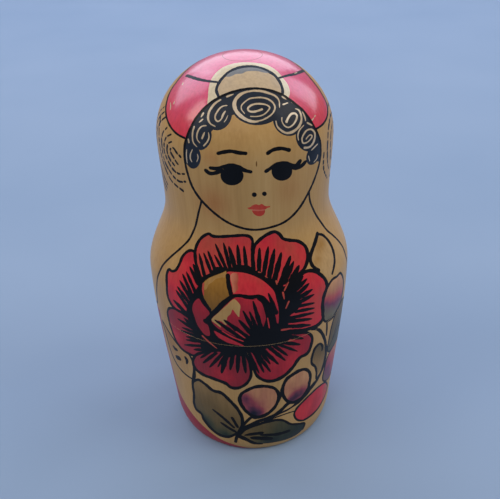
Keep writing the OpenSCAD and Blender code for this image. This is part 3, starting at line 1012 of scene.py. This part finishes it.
def paint_heart(art):
    """The closed inner petals of the flower."""
    art.shape("red", HEART_RED, fade(*HEART_RED_FADE))
    art.shape("red", HEART_PALE, fade(*HEART_PALE_FADE))
    art.shape("ochre", HEART_OCHRE, fade(*HEART_OCHRE_FADE))
    art.shape("ochre", HEART_CREAM, even(0.36))
    art.stroke("red", HEART_EDGE_RED, HEART_EDGE_RED_W, end=0.4, tone=0.3)
    art.shape("red", HEART_LEFT, even(0.74))
    art.shape("red", FRONT_RED, fade(*FRONT_RED_FADE))
    art.shape("wood", FRONT_PALE)
    art.shape("ink", FRONT_DARK)
    for tip, root, width in FRONT_STROKES:
        art.spike(tip, root, FRONT_SHARE * width)
    art.shape("red", FRONT_SLIT, even(0.6))
    for line in FRONT_THREADS:
        art.stroke("red", line, FINE, start=0.6, end=0.6)
    for line, width in HEART_LINES:
        art.stroke("ink", line, width)
    art.stroke("ink", FRONT_EDGE, FRONT_EDGE_W, end=1.3)
    art.stroke("ink", FRONT_SIDE, FRONT_SIDE_W)


def paint_doll():
    art = Painting()
    paint_blush(art)
    paint_dress(art)
    paint_shawl(art)
    paint_rosettes(art)
    paint_hood(art)
    paint_face(art)
    paint_hair(art)
    art.loop("ink", seen_at(spline(FACE_EDGE, closed=True)), PEN)
    paint_sprays(art)
    paint_flower(art)
    paint_heart(art)
    return art.layers


# Cutting the surface along the edges of the paint

# Angles and least gap of a plain net of points, which keeps the unpainted wood round
COLUMNS = np.linspace(-math.pi, math.pi, 91)
LEAST_ROW_GAP = 0.7
# The net ends at this radius, and one fan of triangles closes the crown
LEAST_CROWN_R = 0.9
# Points closer together than this are one point
CUT_MERGE = 0.001
# Points this near to the line down the back, in radians, lie on it
ANGLE_SLACK = 1e-5
# Angles of the points on turned wood, and the sharpest bend that is shaded as smooth
LATHE_ANGLES = np.linspace(-math.pi, math.pi, 129)[:-1]
SMOOTH_BEND = math.cos(math.radians(32))
TOP_H = profile_h[np.flatnonzero(profile_r > LEAST_CROWN_R)[-1]]


def inside(points, edge):
    """Which points a closed edge goes round, also where it crosses itself."""
    x, y = points.T
    turns = np.zeros(len(points), int)
    for (x0, y0), (x1, y1) in zip(edge, np.roll(edge, -1, axis=0)):
        left = (x1 - x0) * (y - y0) - (x - x0) * (y1 - y0)
        turns += (y0 <= y) & (y1 > y) & (left > 0)
        turns -= (y0 > y) & (y1 <= y) & (left < 0)
    return turns != 0


class Surface:
    """Triangles of the outer doll's outside, none of which crosses an edge of paint."""

    def __init__(self, layers):
        borders = [0.0, LOW_EDGE_H, HIGH_EDGE_H, TOP_H]
        rows = list(borders)
        for h in CORNER_H:
            if h < TOP_H and min(abs(h - row) for row in rows) > LEAST_ROW_GAP:
                rows.append(h)
        lines = [np.array([(-math.pi, h), (math.pi, h)]) for h in borders]
        lines += [np.array([(a, 0.0), (a, TOP_H)]) for a in (-math.pi, math.pi)]
        lines += [edge for _, edge, *_ in layers]
        points = [Vector((a * MEAN_R, h)) for h in rows for a in COLUMNS]
        edges = []
        for line in lines:
            first = len(points)
            points += [Vector(place) for place in line * METRIC]
            edges += [(first + i, first + (i + 1) % len(line)) for i in range(len(line))]
        made = delaunay_2d_cdt(points, edges, [], 0, CUT_MERGE, False)
        self.places = np.array([tuple(point) for point in made[0]]) / METRIC
        faces = np.array(made[2])
        middles = self.places[faces].mean(axis=1)
        within = (abs(middles[:, 0]) < math.pi) & (middles[:, 1] > 0) & (middles[:, 1] < TOP_H)
        self.faces = faces[within]
        self.middles = middles[within]
        self.slots = np.zeros(len(self.faces), int)
        self.tones = np.full((len(self.faces), 3), PLAIN)
        for layer in layers:
            self.paint(*layer)

    def paint(self, slot, edge, tones):
        """Gives the triangles inside an edge their slot and tone."""
        near = ((self.middles > edge.min(axis=0)) & (self.middles < edge.max(axis=0))).all(axis=1)
        near = np.flatnonzero(near)
        hit = near[inside(self.middles[near], edge)]
        self.slots[hit] = slot
        places = self.places[self.faces[hit]]
        self.tones[hit] = sum(tone(places) for tone in tones)


def rim(faces, start):
    """Points along the open edge of a surface, from a starting point on it."""
    sides = {(a, b) for face in faces.tolist() for a, b in zip(face, face[1:] + face[:1])}
    follows = dict(side for side in sides if side[::-1] not in sides)
    found = [start]
    while follows[found[-1]] != start:
        found.append(follows[found[-1]])
    return found


def bridge(low, high):
    """Triangles between two rings of (points, angles): each corner's point, ring (0 or 1) and angle."""
    low_ends = np.append(low[1], low[1][0] + FULL_TURN)
    high_ends = np.append(high[1], high[1][0] + FULL_TURN)
    i = 0
    j = 0
    steps = []
    while i < len(low[0]) or j < len(high[0]):
        if j == len(high[0]) or (i < len(low[0]) and low_ends[i + 1] < high_ends[j + 1]):
            steps.append((i, i + 1, j, 0))
            i += 1
        else:
            steps.append((i, j + 1, j, 1))
            j += 1
    first, second, third, side = np.array(steps).T
    ring = np.column_stack([np.zeros_like(side), side, np.ones_like(side)])
    place = np.column_stack([first, second, third])
    low_points = np.append(low[0], low[0][0])
    high_points = np.append(high[0], high[0][0])
    on_low = np.minimum(place, len(low[0]))
    on_high = np.minimum(place, len(high[0]))
    faces = np.where(ring == 0, low_points[on_low], high_points[on_high])
    angles = np.where(ring == 0, low_ends[on_low], high_ends[on_high])
    whole = (faces != np.roll(faces, 1, axis=1)).all(axis=1)
    return faces[whole], ring[whole], angles[whole]


class Piece:
    """Triangles of one turned piece, with a normal, a tone and a map place at each corner.

    The map unrolls the piece: across it is the angle, and up it the length along the turned section.
    """

    def __init__(self):
        self.points = np.zeros((0, 3))
        self.parts = []

    def add_points(self, points):
        first = len(self.points)
        self.points = np.vstack([self.points, points])
        return first + np.arange(len(points))

    def add_surface(self, surface, low_h, high_h, start):
        """The painted outside between two lengths up the outline. Gives its lower and its upper ring."""
        chosen = (surface.middles[:, 1] > low_h) & (surface.middles[:, 1] < high_h)
        faces = surface.faces[chosen]
        angle, length = surface.places.T
        used = np.unique(faces)
        left = used[abs(angle[used] + math.pi) < ANGLE_SLACK]
        right = used[abs(angle[used] - math.pi) < ANGLE_SLACK]
        index = np.zeros(len(surface.places), int)
        index[used] = np.arange(len(used))
        kept = np.setdiff1d(used, right)
        index[kept] = self.add_points(on_wood(surface.places[kept]))
        left = left[np.argsort(length[left])]
        index[right[np.argsort(length[right])]] = index[left]
        around = np.zeros(len(self.points))
        around[index[kept]] = angle[kept]
        low_rim = rim(index[faces], index[left[0]])
        high_rim = rim(index[faces], index[left[-1]])
        high_rim[1:] = high_rim[:0:-1]
        places = surface.places[faces]
        normals = normal_on_wood(places.reshape(-1, 2)).reshape(-1, 3, 3)
        maps = np.dstack([places[..., 0] / FULL_TURN + 0.5, places[..., 1] - low_h + start])
        self.parts.append((index[faces], normals, surface.slots[chosen], surface.tones[chosen], maps))
        return [(np.array(ring), around[ring]) for ring in (low_rim, high_rim)]

    def add_turning(self, path, start, first=None, last=None, paint="bare", tone=PLAIN):
        """Turned wood through rings (radius, height). The first or last ring may be there already."""
        path = np.array(path)
        steps = np.diff(path, axis=0)
        sizes = np.linalg.norm(steps, axis=1)
        slopes = np.column_stack([steps[:, 1], -steps[:, 0]]) / sizes[:, None]
        turned = []
        for r, z in path:
            angles = LATHE_ANGLES if r > 0 else LATHE_ANGLES[:1]
            points = np.column_stack([r * np.sin(angles), -r * np.cos(angles), 0 * angles + z])
            turned.append((points, angles))
        joined = [(self.add_points(points), angles) for points, angles in turned[1:-1]]
        joined.insert(0, first or (self.add_points(turned[0][0]), turned[0][1]))
        joined.append(last or (self.add_points(turned[-1][0]), turned[-1][1]))
        for number, slope in enumerate(slopes):
            ends = np.array([slope, slope])
            for end, other in ((0, number - 1), (1, number + 1)):
                if 0 <= other < len(slopes) and slopes[other] @ slope > SMOOTH_BEND:
                    ends[end] = (slopes[other] + slope) / np.linalg.norm(slopes[other] + slope)
            faces, ring, angles = bridge(joined[number], joined[number + 1])
            out = ends[ring, 0]
            normals = np.stack([out * np.sin(angles), -out * np.cos(angles), ends[ring, 1]], axis=-1)
            maps = np.dstack([angles / FULL_TURN + 0.5, start + ring * sizes[number]])
            slots = np.full(len(faces), PAINTS.index(paint))
            self.parts.append((faces, normals, slots, np.full(faces.shape, tone), maps))
            start += sizes[number]

    def make(self, name, scale, lift, materials):
        """The piece as an object, scaled from the outer doll and lifted to where it stands."""
        faces, normals, slots, tones, maps = (np.concatenate(kind) for kind in zip(*self.parts))
        mesh = bpy.data.meshes.new(name)
        points = (self.points * scale + (0, 0, lift)) * MM
        mesh.from_pydata(points.tolist(), [], faces.tolist())
        mesh.polygons.foreach_set("material_index", slots)
        mesh.attributes.new("tone", "FLOAT", "CORNER").data.foreach_set("value", tones.ravel())
        unrolled = mesh.uv_layers.new(name="OFBake")
        unrolled.uv.foreach_set("vector", (maps / (1.0, maps[..., 1].max())).ravel())
        mesh.shade_smooth()
        mesh.normals_split_custom_set(normals.reshape(-1, 3).tolist())
        for material in materials:
            mesh.materials.append(material)
        piece = bpy.data.objects.new(name, mesh)
        bpy.context.scene.collection.objects.link(piece)
        return piece


def crown_tip():
    """Path from the topmost ring of the surface to the tip of the crown."""
    return [(radius_at(TOP_H), np.interp(TOP_H, profile_h, profile_z)), (0.0, profile_z[-1])]


def base_disc():
    return [(0.0, profile_z[0]), (profile_r[0], profile_z[0])]


def lower_half(surface):
    piece = Piece()
    hollow = [lower_rim, seam_edge, *collar, *reversed(cup), (0.0, cup[0][1])]
    foot, edge = piece.add_surface(surface, 0.0, LOW_EDGE_H, start=profile_r[0])
    piece.add_turning(base_disc(), start=0.0, last=foot)
    piece.add_turning(hollow, start=profile_r[0] + LOW_EDGE_H, first=edge)
    return piece


def upper_half(surface):
    piece = Piece()
    hollow = [(0.0, cap[-1][1]), *reversed(cap), (seam_edge[0], SEAM + RIM_GAP), upper_rim]
    start = lengths(np.array(hollow))[-1]
    edge, crown = piece.add_surface(surface, HIGH_EDGE_H, TOP_H, start=start)
    piece.add_turning(hollow, start=0.0, last=edge)
    # The crown's tip has the hood's light tone, the painted sheen at the top
    piece.add_turning(crown_tip(), start=start + TOP_H - HIGH_EDGE_H, first=crown, paint="hood", tone=LIGHT)
    return piece


def whole_doll(surface):
    piece = Piece()
    foot, crown = piece.add_surface(surface, 0.0, TOP_H, start=profile_r[0])
    piece.add_turning(base_disc(), start=0.0, last=foot)
    # The crown's tip has the hood's light tone, the painted sheen at the top
    piece.add_turning(crown_tip(), start=profile_r[0] + TOP_H, first=crown, paint="hood", tone=LIGHT)
    return piece


# Materials, with colours written as on a screen

def colour(red, green, blue):
    """Linear colour of a screen colour from 0 to 255."""
    shares = [value / 255 for value in (red, green, blue)]
    linear = [s / 12.92 if s < 0.04045 else ((s + 0.055) / 1.055) ** 2.4 for s in shares]
    return (*linear, 1.0)


def screen(stops):
    """Stops of a ramp whose colours are written as on a screen."""
    return [(place, colour(*shade)) for place, shade in stops]


LACQUER_ROUGHNESS = 0.2
LACQUER_IOR = 1.5
SPECULAR_LEVEL = 0.12
BUMP_STRENGTH = 0.35


class Finish:
    """A material, whose nodes are added by short calls."""

    def __init__(self, name, roughness, coat=0.0, coat_ior=LACQUER_IOR):
        self.material = bpy.data.materials.new(name)
        self.material.use_nodes = True
        self.tree = self.material.node_tree
        self.shader = self.tree.nodes["Principled BSDF"]
        self.shader.inputs["Roughness"].default_value = roughness
        self.shader.inputs["Coat Weight"].default_value = coat
        self.shader.inputs["Coat Roughness"].default_value = LACQUER_ROUGHNESS
        self.shader.inputs["Coat IOR"].default_value = coat_ior
        self.shader.inputs["Specular IOR Level"].default_value = SPECULAR_LEVEL
        self.place = self.tree.nodes.new("ShaderNodeTexCoord").outputs["Object"]

    def put(self, socket, value):
        if isinstance(value, bpy.types.NodeSocket):
            self.tree.links.new(value, socket)
        else:
            socket.default_value = value

    def noise(self, across, along, detail=3.0):
        """Grey values from 0 to 1 that change this often per metre, across the grain and along it."""
        mapping = self.tree.nodes.new("ShaderNodeMapping")
        mapping.inputs["Scale"].default_value = (across, across, along)
        self.put(mapping.inputs["Vector"], self.place)
        noise = self.tree.nodes.new("ShaderNodeTexNoise")
        noise.inputs["Scale"].default_value = 1.0
        noise.inputs["Detail"].default_value = detail
        self.put(noise.inputs["Vector"], mapping.outputs["Vector"])
        return noise.outputs["Fac"]

    def sum(self, value, factor, more):
        """value * factor + more."""
        node = self.tree.nodes.new("ShaderNodeMath")
        node.operation = "MULTIPLY_ADD"
        for socket, item in zip(node.inputs, (value, factor, more)):
            self.put(socket, item)
        return node.outputs["Value"]

    def ramp(self, factor, stops):
        node = self.tree.nodes.new("ShaderNodeValToRGB")
        while len(node.color_ramp.elements) < len(stops):
            node.color_ramp.elements.new(1.0)
        for element, (place, shade) in zip(node.color_ramp.elements, stops):
            element.position = place
            element.color = shade
        self.put(node.inputs["Fac"], factor)
        return node.outputs["Color"]

    def tint(self, base, shade, factor):
        """base multiplied by a shade as far as the factor says."""
        node = self.tree.nodes.new("ShaderNodeMix")
        node.data_type = "RGBA"
        node.blend_type = "MULTIPLY"
        sockets = [socket for socket in node.inputs if socket.enabled]
        for socket, value in zip(sockets, (factor, base, shade)):
            self.put(socket, value)
        return next(socket for socket in node.outputs if socket.enabled)

    def tone(self):
        node = self.tree.nodes.new("ShaderNodeAttribute")
        node.attribute_name = "tone"
        return node.outputs["Fac"]

    def bump(self, height, distance):
        node = self.tree.nodes.new("ShaderNodeBump")
        node.inputs["Strength"].default_value = BUMP_STRENGTH
        node.inputs["Distance"].default_value = distance
        self.put(node.inputs["Height"], height)
        self.put(self.shader.inputs["Normal"], node.outputs["Normal"])

    def base(self, socket):
        self.put(self.shader.inputs["Base Color"], socket)
        return self.material


WHITE = (1.0, 1.0, 1.0, 1.0)
FLUSH = (0.8, 0.5, 0.4, 1.0)
WORN = (0.74, 0.72, 0.72, 1.0)
# Ramps of the lacquered wood, the bare wood and the floor: places on them, and screen colours
WOOD_STOPS = [(0.25, (167, 126, 74)), (0.5, (189, 148, 91)), (0.75, (203, 164, 107))]
BARE_STOPS = [(0.3, (196, 156, 104)), (0.5, (220, 186, 136)), (0.75, (232, 204, 160))]
FLOOR_STOPS = [(0.3, (138, 160, 191)), (0.7, (144, 165, 195))]
# Lacquer over each paint, the IOR of that, and the paint's own stops
PAINT_STOPS = {
    "red": (0.2, 1.5, [
        (0.0, (210, 128, 100)), (0.2, (176, 84, 62)), (0.4, (198, 66, 62)), (0.55, (212, 50, 60)),
        (0.7, (168, 36, 50)), (0.85, (140, 40, 50)), (1.0, (112, 46, 54)),
    ]),
    # The hood's light end, pink with a blue cast, is a painted sheen of the sky near the crown
    "hood": (0.9, 1.8, [(0.0, (222, 74, 128)), (0.5, (226, 48, 68)), (1.0, (146, 34, 50))]),
    # The ink's last stop is a bluish grey: a painted reflection of the sky on black lacquer, for hair, dome
    # and folds
    "ink": (0.08, 1.5, [(0.3, (6, 7, 11)), (0.75, (14, 14, 20)), (1.0, (40, 48, 62))]),
    "ochre": (0.2, 1.5, [(0.0, (194, 156, 104)), (0.5, (164, 116, 48)), (1.0, (116, 78, 30))]),
    "bud": (0.15, 1.5, [
        (0.0, (214, 160, 110)), (0.22, (192, 132, 94)), (0.4, (184, 78, 80)), (0.56, (118, 56, 84)),
        (0.7, (112, 96, 86)), (0.84, (116, 108, 84)), (1.0, (22, 22, 42)),
    ]),
    "plum": (0.15, 1.5, [
        (0.0, (214, 160, 110)), (0.25, (190, 126, 94)), (0.45, (156, 70, 80)), (0.65, (92, 48, 70)),
        (0.9, (30, 26, 46)), (1.0, (22, 22, 40)),
    ]),
    "leaf": (0.15, 1.5, [
        (0.0, (152, 120, 74)), (0.35, (118, 94, 56)), (0.65, (76, 74, 50)), (0.85, (46, 54, 44)),
        (1.0, (30, 40, 40)),
    ]),
    "lips": (0.3, 1.5, [(0.0, (214, 112, 88)), (0.5, (200, 64, 46)), (1.0, (172, 46, 38))]),
    "pale": (0.9, 1.8, [(0.0, (222, 206, 174)), (0.5, (202, 176, 141)), (1.0, (122, 126, 132))]),
}


def wood_finish():
    """Lacquered linden wood, with its grain upright."""
    finish = Finish("wood", roughness=0.48, coat=0.25)
    wide = finish.noise(across=110, along=9, detail=4)
    fine = finish.noise(across=1500, along=34)
    mixed = finish.sum(wide, factor=0.6, more=finish.sum(fine, factor=0.3, more=0.05))
    finish.bump(fine, distance=0.00005)
    flush = finish.sum(finish.tone(), factor=2.0, more=-1.0)
    return finish.base(finish.tint(finish.ramp(mixed, screen(WOOD_STOPS)), FLUSH, flush))


def bare_finish():
    """Turned wood without lacquer, with fine rings from the tool."""
    finish = Finish("bare", roughness=0.62)
    rings_cut = finish.noise(across=30, along=2600, detail=2)
    wide = finish.noise(across=120, along=14)
    mixed = finish.sum(wide, factor=0.7, more=finish.sum(rings_cut, factor=0.3, more=0.0))
    finish.bump(rings_cut, distance=0.00008)
    return finish.base(finish.ramp(mixed, screen(BARE_STOPS)))


def paint_finish(name, coat, coat_ior, stops):
    """Thin paint under the lacquer, uneven from the brush and with the grain showing through."""
    finish = Finish(name, roughness=0.4, coat=coat, coat_ior=coat_ior)
    cloud = finish.noise(across=230, along=120)
    fine = finish.noise(across=1300, along=60)
    uneven = finish.sum(cloud, factor=0.36, more=finish.sum(finish.tone(), factor=1.0, more=-0.18))
    worn = finish.ramp(fine, [(0.3, WORN), (0.6, WHITE)])
    finish.bump(fine, distance=0.00004)
    return finish.base(finish.tint(finish.ramp(uneven, screen(stops)), worn, factor=0.5))


def make_materials():
    made = {"wood": wood_finish(), "bare": bare_finish()}
    for name, lacquer_and_stops in PAINT_STOPS.items():
        made[name] = paint_finish(name, *lacquer_and_stops)
    return [made[name] for name in PAINTS]


# The dolls, from the outermost to the solid one

def add_dolls():
    surface = Surface(paint_doll())
    materials = make_materials()
    # The last word of a node's name tells its shape. With each are its lower and upper end on the outer doll
    shapes = {
        "lower": (lower_half(surface), 0.0, collar[-1][1]),
        "upper": (upper_half(surface), SEAM, profile_z[-1]),
        "doll": (whole_doll(surface), 0.0, profile_z[-1]),
    }
    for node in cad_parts:
        shape, bottom, top = shapes[node.split("_")[-1]]
        low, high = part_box(node)
        scale = (high[2] - low[2]) / MM / (top - bottom)
        lift = low[2] / MM - bottom * scale
        piece = shape.make(f"painted_{node}", scale, lift, materials)
        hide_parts(node)
        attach(piece, node)


# Stage, in metres

FLOOR_HALF = 3.0
LAMP_GOAL = Vector((0, 0, 0.06))
SKY = (0.8, 0.86, 1.0)
HAZE = (0.95, 0.97, 1.0)
DAY = (1.0, 0.98, 0.94)
WARM = (1.0, 0.93, 0.82)
# Name, place, width, height, power and colour of each lamp
LAMPS = [
    ("sky_left", (-0.64, 0.58, 0.72), 0.6, 0.7, 2.4, SKY),
    ("sky_back", (0.0, 0.85, 0.6), 0.95, 0.65, 3.8, SKY),
    ("sky_right", (0.74, 0.48, 0.64), 0.45, 0.75, 2.4, SKY),
    ("top", (0.0, 0.1, 1.0), 1.2, 1.2, 0.8, HAZE),
    ("front", (-0.25, -0.8, 1.15), 1.0, 1.0, 4.4, DAY),
    ("side_left", (-0.8, -0.2, 0.75), 0.5, 0.5, 2.3, WARM),
    ("side_right", (0.8, -0.2, 0.75), 0.5, 0.5, 3.0, WARM),
]
WORLD_SHADE = (0.97, 0.95, 0.95, 1.0)
WORLD_STRENGTH = 0.25


def add_floor():
    mesh = bpy.data.meshes.new("floor")
    corners = [(x * FLOOR_HALF, y * FLOOR_HALF, 0) for x, y in ((-1, -1), (1, -1), (1, 1), (-1, 1))]
    mesh.from_pydata(corners, [], [(0, 1, 2, 3)])
    floor = bpy.data.objects.new("floor", mesh)
    finish = Finish("floor", roughness=0.7)
    cloud = finish.noise(across=9, along=9, detail=2)
    mesh.materials.append(finish.base(finish.ramp(cloud, screen(FLOOR_STOPS))))
    bpy.context.scene.collection.objects.link(floor)


def add_lamp(name, place, width, height, power, shade):
    """A soft lamp that looks at the middle of the doll."""
    data = bpy.data.lights.new(name, "AREA")
    data.shape = "RECTANGLE"
    data.size = width
    data.size_y = height
    data.energy = power
    data.color = shade
    lamp = bpy.data.objects.new(name, data)
    lamp.location = place
    lamp.rotation_euler = (LAMP_GOAL - Vector(place)).to_track_quat("-Z", "Y").to_euler()
    bpy.context.scene.collection.objects.link(lamp)


def add_light():
    for lamp in LAMPS:
        add_lamp(*lamp)
    world = bpy.data.worlds.new("world")
    world.use_nodes = True
    background = world.node_tree.nodes["Background"]
    background.inputs["Color"].default_value = WORLD_SHADE
    background.inputs["Strength"].default_value = WORLD_STRENGTH
    bpy.context.scene.world = world


add_camera()
add_dolls()
add_floor()
add_light()
bpy.context.scene.view_settings.view_transform = "Standard"
